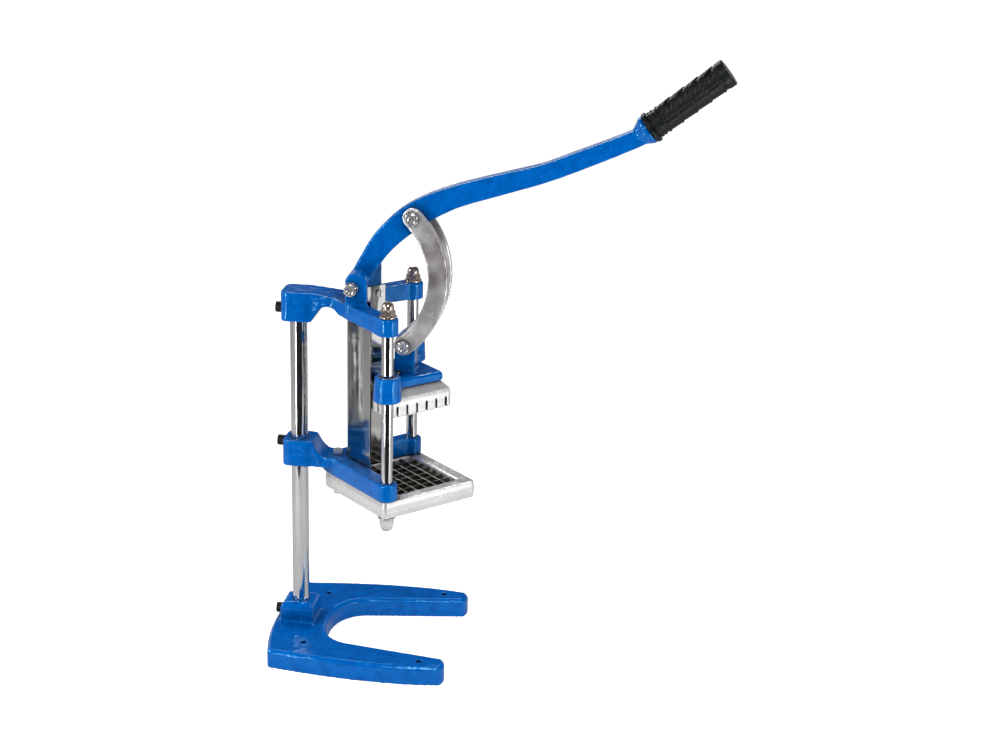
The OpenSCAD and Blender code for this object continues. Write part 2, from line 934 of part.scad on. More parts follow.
module pivot_washers() {
    color("#d5d6d8")
        for (x = [-ear_outer - washer_thick, ear_outer])
            translate([x, pivot[0], pivot[1]])
                rotate([0, 90, 0])
                    washer(washer_r, pivot_r + seat_gap);
}

// Lever

// Middle line of the bar from the pivot to the collar:
// share of the reach, share of the rise, share of the greatest depth
lever_line_share = [
    [0, 0, 0.74], [0.041, 0.123, 0.8], [0.1, 0.267, 0.94], [0.199, 0.416, 1], [0.329, 0.534, 0.86],
    [0.498, 0.63, 0.79], [0.642, 0.707, 0.71], [0.776, 0.802, 0.7], [0.944, 0.93, 0.65], [0.984, 0.968, 0.65]
];
lever_steps = 5;
collar_length = 15;
collar_rim = 3.5;
tang_r = 9;
grip_bore_depth_share = 0.85;

// Outline of the bar: its middle line moved to either side by half its depth
function lever_edge(rows, side) = [
    for (i = [0 : len(rows) - 1])
        let (
            before = rows[max(i - 1, 0)],
            after = rows[min(i + 1, len(rows) - 1)],
            step = [after[0] - before[0], after[1] - before[1]],
            across = [-step[1], step[0]] / norm(step)
        )
        [rows[i][0], rows[i][1]] + side * rows[i][2] / 2 * across
];

module lever_outline() {
    rows = smooth_rows(
        [for (row = lever_line_share)
            [-row[0] * lever_reach, row[1] * lever_rise, row[2] * lever_depth]],
        lever_steps
    );
    near = lever_edge(rows, 1);
    far = lever_edge(rows, -1);
    translate(pivot)
        polygon(concat(near, [for (i = [len(far) - 1 : -1 : 0]) far[i]]));
}

// Moves to the collar's inner face, with +Z along the grip
module at_collar() {
    translate([0, pivot[0] - lever_reach, pivot[1] + lever_rise])
        rotate([90 - grip_slope, 0, 0])
            children();
}

module lever() {
    tang_length = grip_length * grip_bore_depth_share;
    color("#0f62ad") difference() {
        union() {
            side_slab(lever_thick) lever_outline();
            cross_rod(pivot, hub_r, hub_length);
            at_collar() {
                translate([0, 0, -collar_length])
                    cylinder(r1 = lever_thick / 2, r2 = collar_r, h = collar_length - collar_rim);
                translate([0, 0, -collar_rim])
                    cylinder(r = collar_r, h = collar_rim);
                cylinder(r = tang_r, h = tang_length);
            }
        }
        cross_rod(pivot, pivot_r + hub_bush_wall, hub_length + 2 * overrun);
        cross_rod(link_top, link_bolt_r + seat_gap, lever_thick + 2 * overrun);
    }
}

module hub_bush() {
    color("#b08d4c")
        difference() {
            cross_rod(pivot, pivot_r + hub_bush_wall - seat_gap, hub_length);
            cross_rod(pivot, pivot_r + running_gap, hub_length + 2 * overrun);
        }
}

// Grip: moulded rubber with a flange, end bands and raised blocks

grip_flange_r = 17;
grip_flange_length = 4;
grip_band_length = 5;
grip_groove = 1.2;
grip_end_wall = 4;
grip_block_count = 8;
grip_block_width = 6;
grip_rows = 5;

module grip() {
    first_row = grip_flange_length + 4 * grip_band_length;
    row_length = (grip_length - first_row) / grip_rows;
    core_r = grip_r - grip_groove;
    color("#1b1c1e") at_collar()
        difference() {
            union() {
                cylinder(r = grip_flange_r, h = grip_flange_length);
                cylinder(r = core_r, h = grip_length);
                for (z = [1, 3])
                    translate([0, 0, grip_flange_length + z * grip_band_length])
                        cylinder(r = grip_r, h = grip_band_length / 2);
                translate([0, 0, grip_length - grip_band_length])
                    cylinder(r = grip_r, h = grip_band_length);
                for (row = [0 : grip_rows - 1], turn = [0 : grip_block_count - 1])
                    translate([0, 0, first_row + row * row_length])
                        rotate((turn + row / 2) * 360 / grip_block_count)
                            translate([core_r - grip_groove, -grip_block_width / 2, -grip_groove])
                                cube([2 * grip_groove, grip_block_width, row_length - grip_groove]);
            }
            translate([0, 0, -overrun])
                cylinder(r = tang_r + seat_gap, h = grip_length - grip_end_wall + overrun);
        }
}

// Links

link_facets = 128;

// Flat outline of one bowed link in [y, z]: a ring stretch between two round eyes
module link_outline() {
    chord = link_top - link_bottom;
    bow_r = (link_length * link_length / 4 + link_bow * link_bow) / (2 * link_bow);
    towards = [chord[1], -chord[0]] / link_length;
    middle = (link_top + link_bottom) / 2 + towards * (bow_r - link_bow);
    reach = 2 * bow_r;
    difference() {
        union() {
            intersection() {
                translate(middle)
                    difference() {
                        circle(r = bow_r + link_width / 2, $fn = link_facets);
                        circle(r = bow_r - link_width / 2, $fn = link_facets);
                    }
                polygon([
                    middle, middle + (link_top - middle) * reach / bow_r,
                    middle + (link_top - middle - towards * bow_r) * 2,
                    middle + (link_bottom - middle - towards * bow_r) * 2,
                    middle + (link_bottom - middle) * reach / bow_r
                ]);
            }
            translate(link_top) circle(r = link_width / 2);
            translate(link_bottom) circle(r = link_width / 2);
        }
        translate(link_top) circle(r = link_bolt_r + running_gap);
        translate(link_bottom) circle(r = link_bolt_r + seat_gap);
    }
}

module link(side) {
    color("#cfd0d2")
        translate([side * (link_inner + link_thick / 2), 0, 0])
            side_slab(link_thick) link_outline();
}

module link_left() { link(-1); }
module link_right() { link(1); }

module link_top_bolt() {
    head_x = link_outer + washer_thick;
    color("#d5d6d8") {
        translate([-head_x, link_top[0], link_top[1]])
            rotate([0, -90, 0])
                hex_head(hex_flats, hex_height);
        translate([-head_x, link_top[0], link_top[1]])
            rotate([0, 90, 0])
                cylinder(r = link_bolt_r, h = 2 * head_x + hex_height + overrun);
    }
}

module link_top_nut() {
    nut_x = link_outer + washer_thick;
    color("#d5d6d8")
        translate([nut_x, link_top[0], link_top[1]])
            rotate([0, 90, 0])
                difference() {
                    hex_head(hex_flats, hex_height);
                    translate([0, 0, -overrun])
                        cylinder(r = link_bolt_r + seat_gap, h = hex_height + 2 * overrun);
                }
}

module link_washers() {
    color("#d5d6d8")
        for (side = [-1, 1])
            translate([side > 0 ? link_outer : -link_outer - washer_thick, link_top[0], link_top[1]])
                rotate([0, 90, 0])
                    washer(washer_r, link_bolt_r + seat_gap);
}

// Head, nut and outer stubs of the lower bolt, which turn with the links
module link_bottom_bolt() {
    stub = link_thick + side_gap / 2;
    color("#d5d6d8")
        for (side = [-1, 1])
            translate([side * (link_outer - stub), link_bottom[0], link_bottom[1]])
                rotate([0, side * 90, 0]) {
                    cylinder(r = link_bolt_r, h = stub + overrun);
                    translate([0, 0, stub]) cylinder(r = washer_r, h = washer_thick);
                    translate([0, 0, stub + washer_thick]) hex_head(hex_flats, hex_height);
                }
}

// Crosshead

plate_lift = 3.5;
crosshead_plate_z = crosshead_z + plate_lift;
plate_corner_r = 6;
plate_edge = 2;
cheek_width = 22;
slider_boss_edge = 2.5;
bush_wall = 2;
pusher_screw_reach = 22;
pusher_screw_r = 2.5;
pusher_head_r = 4.4;
pusher_head_height = 3.75;

module crosshead_plan(shrink) {
    on_grid() rounded_square(plate_side / 2 - shrink, plate_side / 2 - shrink, plate_corner_r);
    translate([0, -rod_reach])
        square([rod_span - slider_boss_r, cheek_width - 2 * shrink], center = true);
}

// Boss on a guide rod, wider at its foot, with both edges rounded
module slider_boss() {
    edge = slider_boss_edge;
    high = slider_boss_height;
    rotate_extrude()
        polygon(concat(
            [[0, 0]],
            curve([slider_boss_foot_r - edge, 0], [slider_boss_foot_r, 0], [slider_boss_foot_r, edge]),
            curve([slider_boss_r, high - edge], [slider_boss_r, high], [slider_boss_r - edge, high]),
            [[0, high]]
        ));
}

module crosshead() {
    block_z = link_bottom[1];
    color("#0f62ad") difference() {
        union() {
            translate([0, 0, crosshead_plate_z])
                linear_extrude(plate_thick - plate_edge) crosshead_plan(0);
            translate([0, 0, crosshead_plate_z])
                linear_extrude(plate_thick) crosshead_plan(plate_edge);
            at_rods(crosshead_z) slider_boss();
            side_slab(lever_thick)
                translate([link_bottom[0], 0]) {
                    translate([-pin_block_length / 2, crosshead_plate_z + plate_thick / 2])
                        square([pin_block_length, block_z - crosshead_plate_z - plate_thick / 2]);
                    translate([0, block_z]) circle(r = pin_block_length / 2);
                }
        }
        cross_rod(link_bottom, link_bolt_r + seat_gap, lever_thick + 2 * overrun);
        at_rods(crosshead_z - overrun)
            cylinder(r = rod_r + bush_wall, h = slider_boss_height + 2 * overrun);
        for (side = [-1, 1])
            translate([side * pusher_screw_reach, -rod_reach, crosshead_plate_z - overrun])
                cylinder(r = pusher_screw_r + bolt_gap, h = plate_thick + 2 * overrun);
    }
}

module slider_bushes() {
    color("#b08d4c") at_rods(crosshead_z)
        difference() {
            cylinder(r = rod_r + bush_wall - seat_gap, h = slider_boss_height - overrun);
            translate([0, 0, -overrun])
                cylinder(r = rod_r + running_gap, h = slider_boss_height + 2 * overrun);
        }
}

// Middle of the lower link bolt, flush with the block's two faces
module crosshead_pin() {
    color("#d5d6d8") cross_rod(link_bottom, link_bolt_r, lever_thick);
}

// Pusher

pusher_top_half = 31;
pusher_gap = 2.4;
pusher_corner_r = 55.5;
flare_layers = 4;
pusher_base = crosshead_plate_z - pusher_height;
finger_root = pusher_base + finger_length;
pusher_half = opening_half - pusher_gap;

// Half side of the flared shoulder at a share of its height, from the top down
function shoulder_half(share) =
    pusher_top_half + (pusher_half - pusher_top_half) * sin(90 * share);

module pusher() {
    shoulder = crosshead_plate_z - finger_root;
    layer = shoulder / flare_layers;
    color("#dcdddf") difference() {
        intersection() {
            translate([0, -rod_reach, 0])
                union() {
                    translate([0, 0, pusher_base])
                        rotate(45)
                            translate([-pusher_half, -pusher_half, 0])
                                cube([2 * pusher_half, 2 * pusher_half, finger_length]);
                    for (i = [0 : flare_layers - 1])
                        translate([0, 0, crosshead_plate_z - (i + 1) * layer])
                            cylinder(r1 = shoulder_half((i + 1) / flare_layers) * sqrt(2),
                                r2 = shoulder_half(i / flare_layers) * sqrt(2), h = layer, $fn = 4);
                }
            translate([0, -rod_reach, pusher_base])
                cylinder(r = pusher_corner_r, h = pusher_height);
        }
        translate([0, -rod_reach, 0])
            rotate(45)
                for (turn = [0, 90])
                    rotate(turn)
                        at_blades()
                            translate([-finger_slot / 2, -2 * pusher_half, pusher_base - overrun])
                                cube([finger_slot, 4 * pusher_half, finger_length + overrun]);
        for (side = [-1, 1])
            translate([side * pusher_screw_reach, -rod_reach, finger_root])
                cylinder(r = pusher_screw_r, h = pusher_height);
    }
}

module pusher_screws() {
    screw_foot = (finger_root + crosshead_plate_z) / 2;
    plate_top = crosshead_plate_z + plate_thick;
    color("#8f9296")
        for (side = [-1, 1])
            translate([side * pusher_screw_reach, -rod_reach, 0]) {
                translate([0, 0, screw_foot])
                    cylinder(r = pusher_screw_r - seat_gap, h = plate_top - screw_foot);
                translate([0, 0, plate_top])
                    cylinder(r = pusher_head_r, h = pusher_head_height);
            }
}

base();
post();
lower_bracket();
upper_bracket();
post_clamp_screws();
guide_rod_left();
guide_rod_right();
top_dome_nuts();
top_washers();
bottom_dome_nuts();
bottom_washers();
tray();
blades_lower();
blades_upper();
blade_retainer();
retainer_screws();
tray_bolt();
tray_nut();
back_guard();
guard_screws();
pivot_bolt();
pivot_nut();
pivot_washers();
lever();
hub_bush();
grip();
link_top_bolt();
link_top_nut();
link_washers();
link_left();
link_right();
link_bottom_bolt();
crosshead();
slider_bushes();
crosshead_pin();
pusher();
pusher_screws();
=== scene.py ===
import math

import bmesh
import bpy
from mathutils import Matrix, Vector


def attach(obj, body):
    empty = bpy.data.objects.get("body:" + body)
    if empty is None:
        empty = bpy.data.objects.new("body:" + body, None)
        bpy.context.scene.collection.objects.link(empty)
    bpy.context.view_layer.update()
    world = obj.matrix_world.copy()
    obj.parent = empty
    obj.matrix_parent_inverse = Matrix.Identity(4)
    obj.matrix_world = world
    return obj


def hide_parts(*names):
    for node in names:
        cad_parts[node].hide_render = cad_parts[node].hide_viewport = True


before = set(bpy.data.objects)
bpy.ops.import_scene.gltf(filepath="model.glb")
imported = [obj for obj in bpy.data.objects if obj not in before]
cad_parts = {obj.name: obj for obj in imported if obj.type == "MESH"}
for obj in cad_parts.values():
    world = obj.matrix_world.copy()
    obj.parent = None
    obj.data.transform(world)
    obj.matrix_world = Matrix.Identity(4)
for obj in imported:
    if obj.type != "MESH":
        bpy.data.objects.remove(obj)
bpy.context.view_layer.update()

# Foot
# A horseshoe of cast iron that stands flat on the bench, open to the front.
# Sand cast, filed along its edges and painted in thick blue gloss enamel.

mm = 0.001
enamel_blue = (0.0, 0.116, 0.47, 1)
enamel_deep = (0.0, 0.085, 0.36, 1)
# Painted shade: the next colour darkens the enamel in corners and under other parts, within
# enamel_corner.
enamel_painted_shade = (0.0, 0.01, 0.045, 1)
enamel_corner = 30 * mm
enamel_cloud = 9 * mm
enamel_smear = 2.5 * mm
enamel_gloss = (0.04, 0.1)
enamel_glint = (0.3, 0.78, 1, 1)
enamel_ior = 1.6
enamel_waves = ((10 * mm, 2, 0.7 * mm), (4 * mm, 2, 0.3 * mm), (1.6 * mm, 1, 0.12 * mm))
# Where the painted shade is full and where it ends, on the occlusion's scale.
corner_closed = 0.3
corner_open = 0.95


def new_material(name):
    """An empty node material, given back with its node tree and its shader."""
    material = bpy.data.materials.new(name)
    material.use_nodes = True
    tree = material.node_tree
    return material, tree, tree.nodes["Principled BSDF"]


def add_node(tree, kind, **values):
    """A shader node with its socket values and its settings."""
    node = tree.nodes.new(kind)
    for key, value in values.items():
        if key in node.inputs:
            node.inputs[key].default_value = value
        else:
            setattr(node, key, value)
    return node


def noise(tree, size, detail=3, stretch=(1, 1, 1)):
    """Noise whose lumps are about size metres across, in the object's own frame."""
    coords = add_node(tree, "ShaderNodeTexCoord")
    mapping = add_node(tree, "ShaderNodeMapping", Scale=stretch)
    lumps = add_node(tree, "ShaderNodeTexNoise", Scale=1 / size, Detail=detail)
    tree.links.new(coords.outputs["Object"], mapping.inputs["Vector"])
    tree.links.new(mapping.outputs["Vector"], lumps.inputs["Vector"])
    return lumps.outputs["Fac"]


def ramp(tree, source, low, high, start=0.35, end=0.65):
    """Turns a source into a colour or a grey that goes from low at start to high at end."""
    node = add_node(tree, "ShaderNodeValToRGB")
    for element, place, value in zip(node.color_ramp.elements, (start, end), (low, high)):
        element.position = place
        element.color = value if isinstance(value, tuple) else (value, value, value, 1)
    tree.links.new(source, node.inputs["Fac"])
    return node.outputs["Color"]


def blend(tree, share, first, second):
    """Goes from the first colour to the second with the share; each is a value or a socket."""
    mix = add_node(tree, "ShaderNodeMix", data_type="RGBA")
    tree.links.new(share, mix.inputs["Factor"])
    colour_sockets = mix.inputs[6:8]
    for socket, colour in zip(colour_sockets, (first, second)):
        if isinstance(colour, tuple):
            socket.default_value = colour
        else:
            tree.links.new(colour, socket)
    return mix.outputs[2]


def bump(tree, shader, layers):
    """Stacks bump layers, each a height source and its depth in metres."""
    normal = None
    for height, depth in layers:
        node = add_node(tree, "ShaderNodeBump", Distance=depth, Strength=1.0)
        tree.links.new(height, node.inputs["Height"])
        if normal:
            tree.links.new(normal, node.inputs["Normal"])
        normal = node.outputs["Normal"]
    tree.links.new(normal, shader.inputs["Normal"])


def paint_corner_shade(tree, colour, dark, reach, alone=False):
    """Paints shade into a colour: darker in corners and slots within reach, by occlusion from any piece
    or from its own alone.
    """
    shelter = add_node(tree, "ShaderNodeAmbientOcclusion", samples=6, Distance=reach, only_local=alone)
    openness = ramp(tree, shelter.outputs["AO"], 0.0, 1.0, corner_closed, corner_open)
    return blend(tree, openness, dark, colour)


def make_enamel(name, alone):
    """Thick gloss paint over a sand casting, with painted shade that darkens it in its corners."""
    material, tree, shader = new_material(name)
    clouds = noise(tree, enamel_cloud, detail=4)
    colour = ramp(tree, clouds, enamel_deep, enamel_blue, start=0.3, end=0.6)
    # Painted shade in corners and under neighbouring pieces.
    shaded = paint_corner_shade(tree, colour, enamel_painted_shade, enamel_corner, alone)
    tree.links.new(shaded, shader.inputs["Base Color"])
    gloss = ramp(tree, noise(tree, enamel_smear, detail=4), *enamel_gloss)
    tree.links.new(gloss, shader.inputs["Roughness"])
    shader.inputs["IOR"].default_value = enamel_ior
    shader.inputs["Specular Tint"].default_value = enamel_glint
    bump(tree, shader, [(noise(tree, size, detail), depth) for size, detail, depth in enamel_waves])
    return material


def shade(piece, material):
    """Gives a piece one material and smooth shading that keeps its sharp edges."""
    piece.data.materials.clear()
    piece.data.materials.append(material)
    for face in piece.data.polygons:
        face.use_smooth = True
        face.material_index = 0


def take_place(piece, material, body, node):
    """Finishes a piece, lets it move with a body and hides the solid that it stands for."""
    shade(piece, material)
    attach(piece, body)
    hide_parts(node)


def bake(piece):
    """Turns a piece's modifiers into its mesh."""
    graph = bpy.context.evaluated_depsgraph_get()
    mesh = bpy.data.meshes.new_from_object(piece.evaluated_get(graph))
    piece.modifiers.clear()
    piece.data = mesh


def cast_skin(name, node, body, material, cell=1.1 * mm, rounds=9,
              lumps=0.4 * mm, lump_size=11 * mm):
    """The skin of a casting: the solid's own form with soft edges and a slightly uneven surface."""
    piece = bpy.data.objects.new(name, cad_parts[node].data.copy())
    bpy.context.scene.collection.objects.link(piece)
    remesh = piece.modifiers.new("Skin", "REMESH")
    remesh.mode = "VOXEL"
    remesh.voxel_size = cell
    soften = piece.modifiers.new("Soften", "SMOOTH")
    soften.factor = 0.5
    soften.iterations = rounds
    cloud = bpy.data.textures.new(name + "_lumps", "CLOUDS")
    cloud.noise_scale = lump_size
    uneven = piece.modifiers.new("Uneven", "DISPLACE")
    uneven.texture = cloud
    uneven.texture_coords = "LOCAL"
    uneven.strength = lumps
    uneven.mid_level = 1.0
    bake(piece)
    take_place(piece, material, body, node)


# The foot's painted shade comes from its own corners only.
foot_enamel = make_enamel("foot_enamel", alone=True)
cast_skin("foot_casting", "base", "stand", foot_enamel,
          rounds=2, lumps=0.25 * mm, lump_size=16 * mm)

# Post and guide rods
# Ground steel bars with hard chrome plating; the post stands in the foot's block,
# the two rods are clamped between tray and upper bracket by dome nuts.

plain_metal_clouds = (0.88, 0.88, 0.88)
# The share of a metal's colour left in its painted shade, in corners and slots.
painted_slot_shade = 0.06
broken_edge = 0.3 * mm
sharp_angle = math.radians(35)
weld_gap = 0.001 * mm


def dimmed(colour, share):
    """The colour at a share of its strength."""
    return tuple(share * part for part in colour[:3]) + (1,)


def make_bright(name, colour, gloss, grain, depth, stretch=(1, 1, 1), metallic=1.0, painted_shade_reach=0,
                cloud_tone=plain_metal_clouds):
    """Bare or plated metal: cloudy tone and gloss, a shallow grain of that size and depth, painted shade
    in corners.
    """
    material, tree, shader = new_material(name)
    shader.inputs["Metallic"].default_value = metallic
    cloudy_colour = tuple(share * part for share, part in zip(cloud_tone, colour)) + (1,)
    tone = ramp(tree, noise(tree, 3 * grain, stretch=stretch), cloudy_colour, colour)
    # Painted shade in corners and slots, when a reach is given.
    if painted_shade_reach:
        tone = paint_corner_shade(tree, tone, dimmed(colour, painted_slot_shade), painted_shade_reach)
    tree.links.new(tone, shader.inputs["Base Color"])
    roughness = ramp(tree, noise(tree, grain, detail=4, stretch=stretch), *gloss)
    tree.links.new(roughness, shader.inputs["Roughness"])
    bump(tree, shader, [(noise(tree, grain, stretch=stretch), depth)])
    return material


def dress(node, material, edge=broken_edge):
    """Keeps a solid's own form, breaks its sharp edges and gives it a finish."""
    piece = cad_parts[node]
    weld = piece.modifiers.new("Weld", "WELD")
    weld.merge_threshold = weld_gap
    if edge:
        bevel = piece.modifiers.new("Edges", "BEVEL")
        bevel.width = edge
        bevel.segments = 2
        bevel.limit_method = "ANGLE"
        bevel.angle_limit = sharp_angle
    for face in piece.data.polygons:
        face.use_smooth = True
    for material_slot in piece.material_slots:
        material_slot.material = material
    smooth = piece.modifiers.new("Smooth", "WEIGHTED_NORMAL")
    smooth.keep_sharp = True


chrome = make_bright("hard_chrome", (0.8, 0.81, 0.83, 1), gloss=(0.04, 0.1), grain=5 * mm,
                     depth=0.01 * mm, stretch=(1, 1, 0.2))
dress("post", chrome)
dress("guide_rod_left", chrome)
dress("guide_rod_right", chrome)

# Lower bracket
# An iron casting that clamps the post and spreads into two arms at right angles,
# each with a bored boss for a guide rod; the same enamel as the foot.

enamel = make_enamel("blue_enamel", alone=False)
cast_skin("lower_casting", "lower_bracket", "stand", enamel)

# Upper bracket
# The matching iron casting at the top, with two clevis ears for the lever's hinge.
# It is clamped to the post too, and the guide rods pass through its bosses.

cast_skin("upper_casting", "upper_bracket", "stand", enamel)

# Clamp screws
# Socket head screws of blackened steel behind the three post blocks;
# they hold the post by pressure.

black_oxide = make_bright("black_oxide", (0.03, 0.03, 0.033, 1), gloss=(0.35, 0.55), grain=1 * mm,
                          depth=0.03 * mm)
dress("post_clamp_screws", black_oxide, edge=0.5 * mm)

# Dome nuts and washers
# Turned caps over the rods' threaded ends, a hexagon with a neck and a ball on it:
# warm nickel plating on top, bright zinc below.

washer_edge = 0.2 * mm
rod_x = 73 * mm
rod_y = -113 * mm
nut_seat = 410.1 * mm
nut_flats = 14.3 * mm
nut_corner_radius = 8.25 * mm
nut_face_radius = 7.3 * mm
nut_face_bevel = 0.5 * mm
nut_top_bevel = 0.8 * mm
nut_hex_height = 6.2 * mm
nut_shoulder_radius = 7.0 * mm
nut_neck_radius = 5.7 * mm
nut_neck_foot = nut_hex_height + 0.1 * mm
nut_thread_radius = 4.75 * mm
nut_thread_depth = 9.5 * mm
nut_drill_radius = 0.4 * mm
ball_radius = 6.7 * mm
ball_height = 8.8 * mm
ball_rings = 13
ball_start = math.radians(-22)
ball_step = math.radians(8.96)
points_around = 72
crisp_angle = math.radians(25)

nickel = make_bright("warm_nickel", (0.6, 0.5, 0.45, 1), gloss=(0.16, 0.28), grain=2 * mm,
                     depth=0.02 * mm, metallic=0.88)
# Bright zinc with painted shade in its corners and creases.
zinc = make_bright("bright_zinc", (0.86, 0.86, 0.87, 1), gloss=(0.12, 0.22), grain=5 * mm,
                   depth=0.02 * mm, metallic=0.82, painted_shade_reach=5 * mm)


def skin_rings(shape, rings):
    """Joins rings of equally many points into a closed skin."""
    around = len(rings[0])
    for low, high in zip(rings, rings[1:]):
        for index in range(around):
            after = (index + 1) % around
            shape.faces.new((low[index], low[after], high[after], high[index]))
    shape.faces.new(rings[-1])
    shape.faces.new(list(reversed(rings[0])))


def new_piece(name, shape):
    """Turns a built shape into an object of the scene."""
    mesh = bpy.data.meshes.new(name)
    shape.to_mesh(mesh)
    shape.free()
    piece = bpy.data.objects.new(name, mesh)
    bpy.context.scene.collection.objects.link(piece)
    return piece


def turned(name, profile, flats, places, along):
    """Pieces from hexagon bar: rows of distance, radius and whether the hexagon cuts that ring."""
    shape = bmesh.new()
    sixth = math.pi / 3
    for place, direction in zip(places, along):
        aim = Vector(direction).to_track_quat("Z", "Y")
        rings = []
        for far, radius, milled in profile:
            ring = []
            for index in range(points_around):
                angle = 2 * math.pi * index / points_around
                off_flat = (angle + sixth / 2) % sixth - sixth / 2
                out = min(radius, flats / 2 / math.cos(off_flat)) if milled else radius
                local = Vector((out * math.cos(angle), out * math.sin(angle), far))
                ring.append(shape.verts.new(Vector(place) + aim @ local))
            rings.append(ring)
        skin_rings(shape, rings)
    bmesh.ops.recalc_face_normals(shape, faces=shape.faces)
    piece = new_piece(name, shape)
    piece.data.set_sharp_from_angle(angle=crisp_angle)
    return piece


nut_profile = [(nut_thread_depth, nut_drill_radius, False),
               (nut_thread_depth, nut_thread_radius, False), (0, nut_thread_radius, False),
               (0, nut_face_radius, False), (nut_face_bevel, nut_corner_radius, True),
               (nut_hex_height - nut_top_bevel, nut_corner_radius, True),
               (nut_hex_height, nut_shoulder_radius, True), (nut_neck_foot, nut_neck_radius, False)]
for ball_ring in range(ball_rings):
    lift = ball_start + ball_ring * ball_step
    nut_profile.append((ball_height + ball_radius * math.sin(lift), ball_radius * math.cos(lift), False))
nut_places = [(side * rod_x, rod_y, nut_seat) for side in (-1, 1)]
dome_nuts = turned("acorn_nuts", nut_profile, nut_flats, nut_places, [(0, 0, 1), (0, 0, 1)])
take_place(dome_nuts, nickel, "stand", "top_dome_nuts")
dress("top_washers", nickel, edge=washer_edge)
dress("bottom_dome_nuts", zinc)
dress("bottom_washers", zinc, edge=washer_edge)

# Tray
# A square aluminium casting, turned by 45 degrees and polished by hand, that carries
# the blades; its sides bulge a little.

# Polished aluminium with painted shade in corners and slots, such as between the pusher's fingers.
aluminium = make_bright("polished_aluminium", (0.88, 0.875, 0.87, 1), gloss=(0.16, 0.32),
                        grain=14 * mm, depth=0.3 * mm, metallic=0.6, painted_shade_reach=9 * mm)
cast_skin("tray_casting", "tray", "stand", aluminium, cell=0.8 * mm, lumps=0.1 * mm)

# Blades
# Two crossed sets of thin strip steel, halved into each other and held in the tray's slots
# by a screwed frame below. Dull on their sides and ground bright on top, the upper set whiter as a
# painted glint.

strip_grey = (0.13, 0.125, 0.095, 1)
ground_grey = (0.32, 0.31, 0.27, 1)
# The upper set's white tops are ground steel with a painted glint.
ground_white_glint = (0.85, 0.84, 0.8, 1)
worn_tone = 0.7
worn_patch = 4 * mm
strip_edge = 0.15 * mm


def make_blade_steel(name, ground):
    """Dull strip steel whose upward faces show the ground colour, worn in places; a white ground colour
    adds a painted glint.
    """
    material = make_bright(name, strip_grey, gloss=(0.3, 0.5), grain=3 * mm, depth=0.03 * mm)
    tree = material.node_tree
    base = tree.nodes["Principled BSDF"].inputs["Base Color"]
    dull = base.links[0].from_socket
    facing = add_node(tree, "ShaderNodeSeparateXYZ")
    tree.links.new(add_node(tree, "ShaderNodeTexCoord").outputs["Normal"], facing.inputs[0])
    upward = ramp(tree, facing.outputs["Z"], 0.0, 1.0, start=0.6, end=0.9)
    worn = ramp(tree, noise(tree, worn_patch), dimmed(ground, worn_tone), ground)
    tree.links.new(blend(tree, upward, dull, worn), base)
    return material


dress("blades_lower", make_blade_steel("dull_blades", ground_grey), edge=strip_edge)
dress("blades_upper", make_blade_steel("ground_glint_blades", ground_white_glint), edge=strip_edge)
dress("blade_retainer", aluminium)
dress("retainer_screws", zinc, edge=0)

# Tray bolt and nut
# Zinc plated steel; they hold the tray's rear corner up against the neck
# of the lower bracket.

dress("tray_bolt", zinc)
dress("tray_nut", zinc)

# Guard
# Bright stainless sheet folded once, held in the corner of both brackets by
# two slotted screws; it keeps the potato on the blades.

guard_edge = 0.2 * mm
stainless = make_bright("bright_stainless", (0.55, 0.55, 0.535, 1), gloss=(0.08, 0.16), grain=40 * mm,
                        depth=1.4 * mm, stretch=(1, 1, 0.35))
dress("back_guard", stainless, edge=guard_edge)
dress("guard_screws", zinc, edge=guard_edge)

# Hinge bolt
# A zinc plated steel bolt through the ears and the lever's bush, its hexagon head
# hollow on top, with washers and a nut.

bolt_flats = 13 * mm
bolt_corner_radius = 7.5 * mm
shank_radius = 4 * mm
bolt_tip = 0.5 * mm
washer_radius = 7.6 * mm
washer_thick = 1.6 * mm
hollow_height = 4.4 * mm
hollow_radius = 3.0 * mm
hollow_mouth_radius = 3.6 * mm
head_height = 5.5 * mm
rim_inner_radius = 4.3 * mm
rim_outer_radius = 5.7 * mm
rim_foot_radius = 6.5 * mm
rim_round = 0.4 * mm
head_centre_radius = 0.3 * mm
head_profile = [(hollow_height, head_centre_radius, False), (hollow_height, hollow_radius, False),
                (hollow_height + rim_round, hollow_mouth_radius, False),
                (head_height, rim_inner_radius, False), (head_height, rim_outer_radius, False),
                (head_height - rim_round, rim_foot_radius, True),
                (hollow_height, bolt_corner_radius, True), (0, bolt_corner_radius, True)]
hinge_head = (-42.6 * mm, -67 * mm, 427 * mm)
hinge_length = 91.7 * mm
to_left = (-1, 0, 0)
to_right = (1, 0, 0)


def bolt_profile(length):
    """The hollow hexagon head over a plain shank with a chamfered end."""
    return head_profile + [(0, shank_radius, False), (bolt_tip - length, shank_radius, False),
                           (-length, shank_radius - bolt_tip, False), (-length, bolt_tip, False)]


hinge_bolt = turned("hinge_bolt", bolt_profile(hinge_length), bolt_flats, [hinge_head], [to_left])
take_place(hinge_bolt, zinc, "stand", "pivot_bolt")
dress("pivot_nut", zinc)
dress("pivot_washers", zinc, edge=washer_edge)

# Lever
# One curved iron casting with a crosswise hub at its root, bushed in bronze, and
# a round collar in front of the grip; the same enamel as the brackets.

bronze = make_bright("turned_bronze", (0.55, 0.33, 0.13, 1), gloss=(0.2, 0.35), grain=1 * mm,
                     depth=0.02 * mm)
cast_skin("lever_casting", "lever", "lever_arm", enamel, rounds=14)
dress("hub_bush", bronze)

# Grip
# A pushed-on tube of moulded rubber: a flange, a studded neck, then a pattern of
# slanted blocks over the top and plainer bands below, parted by a rib on each side.

